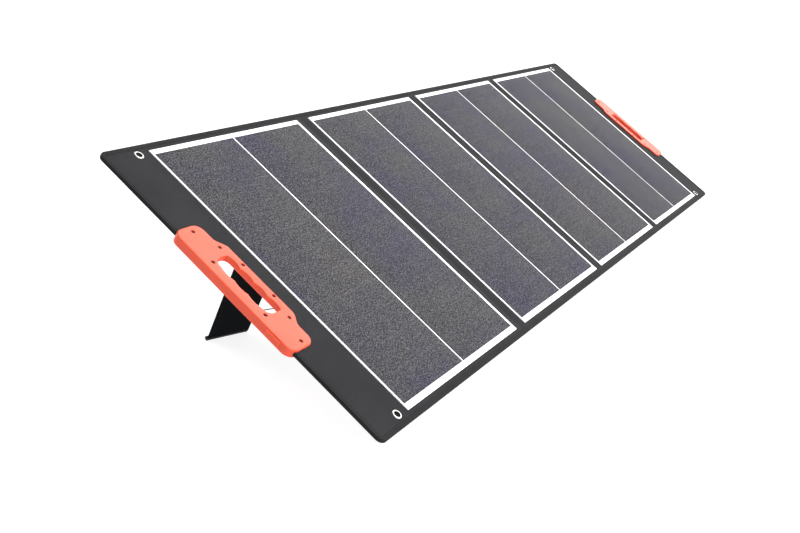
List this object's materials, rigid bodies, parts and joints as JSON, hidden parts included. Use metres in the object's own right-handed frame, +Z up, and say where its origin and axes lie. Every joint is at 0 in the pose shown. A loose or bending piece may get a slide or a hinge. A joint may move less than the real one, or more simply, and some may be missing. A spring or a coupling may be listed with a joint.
{
  "type": "folding solar panel",
  "caption": "Portable folding solar panel of laminated modules on fabric, with carry handles, corner eyelets and splayed rear legs, standing open.",
  "frame": {"origin": "on the floor, at the middle of the standing panel's footprint", "axes": "+X along the row of modules to the right seen from the sun side, +Y to the back, +Z up; the modules face towards -Y and +Z"},
  "size_m": [1.6524, 0.4134, 0.308],
  "materials": {
    "fabric": "woven",
    "board": "matt",
    "white_sheet": "satin",
    "cells": "satin",
    "film": "dimpled",
    "tape": "woven",
    "orange_plastic": "satin",
    "screw_steel": "satin",
    "nickel": "polished",
    "leg_board": "matt",
    "leg_fabric": "woven",
    "foot_strip": "matt",
    "cord": "braided",
    "black_plastic": "textured"
  },
  "bodies": {
    "panel_1": {"panel_1_back_fabric": "fabric", "panel_1_board": "board", "panel_1_front_fabric": "fabric", "panel_1_backsheet": "white_sheet", "panel_1_cell_strings": "cells", "panel_1_front_film": "film", "panel_1_edge_tape": "tape", "handle_left_front_shell": "orange_plastic", "handle_left_rear_shell": "orange_plastic", "handle_left_screws": "screw_steel", "handle_left_latch": "orange_plastic", "eyelets_left": "nickel", "eyelet_washers_left": "nickel", "leg_left_hinge_patch": "leg_fabric", "stay_left_back_anchor": "tape", "stay_left_cord": "cord"},
    "panel_2": {"panel_2_back_fabric": "fabric", "panel_2_board": "board", "panel_2_front_fabric": "fabric", "panel_2_backsheet": "white_sheet", "panel_2_cell_strings": "cells", "panel_2_front_film": "film", "panel_2_edge_tape": "tape"},
    "panel_3": {"panel_3_back_fabric": "fabric", "panel_3_board": "board", "panel_3_front_fabric": "fabric", "panel_3_backsheet": "white_sheet", "panel_3_cell_strings": "cells", "panel_3_front_film": "film", "panel_3_edge_tape": "tape"},
    "panel_4": {"panel_4_back_fabric": "fabric", "panel_4_board": "board", "panel_4_front_fabric": "fabric", "panel_4_backsheet": "white_sheet", "panel_4_cell_strings": "cells", "panel_4_front_film": "film", "panel_4_edge_tape": "tape", "handle_right_front_shell": "orange_plastic", "handle_right_rear_shell": "orange_plastic", "handle_right_screws": "screw_steel", "handle_right_latch": "orange_plastic", "eyelets_right": "nickel", "eyelet_washers_right": "nickel", "leg_right_hinge_patch": "leg_fabric", "stay_right_back_anchor": "tape", "stay_right_cord": "cord", "junction_box_housing": "black_plastic", "junction_box_lid": "black_plastic", "junction_box_screws": "screw_steel", "output_socket": "black_plastic"},
    "leg_left": {"leg_left_board": "leg_board", "leg_left_cover": "leg_fabric", "leg_left_foot": "foot_strip", "stay_left_leg_anchor": "tape"},
    "leg_right": {"leg_right_board": "leg_board", "leg_right_cover": "leg_fabric", "leg_right_foot": "foot_strip", "stay_right_leg_anchor": "tape"}
  },
  "joints": [
    {"name": "fold_middle", "type": "hinge", "parent": "panel_2", "child": "panel_3", "pos_m": [0.002, 0.0025, 0.15061], "axis": [0, 0.8039, 0.5948], "range_deg": [0, 178]},
    {"name": "fold_left", "type": "hinge", "parent": "panel_2", "child": "panel_1", "pos_m": [-0.374, -0.00309, 0.15817], "axis": [0, 0.8039, 0.5948], "range_deg": [0, 178]},
    {"name": "fold_right", "type": "hinge", "parent": "panel_3", "child": "panel_4", "pos_m": [0.376, -0.00309, 0.15817], "axis": [0, -0.8039, -0.5948], "range_deg": [0, 178]},
    {"name": "leg_left_swing", "type": "hinge", "parent": "panel_1", "child": "leg_left", "pos_m": [-0.676, 0.04824, 0.18546], "axis": [0.9511, -0.2484, -0.1838], "range_deg": [-96, 0], "deforming": ["stay_left_cord"]},
    {"name": "leg_right_swing", "type": "hinge", "parent": "panel_4", "child": "leg_right", "pos_m": [0.676, 0.04824, 0.18546], "axis": [0.9511, 0.2484, 0.1838], "range_deg": [-96, 0], "deforming": ["stay_right_cord"]}
  ],
  "couplings": [
    {"joint": "fold_left", "follows": "fold_middle", "ratio": 1},
    {"joint": "fold_right", "follows": "fold_middle", "ratio": 1}
  ]
}
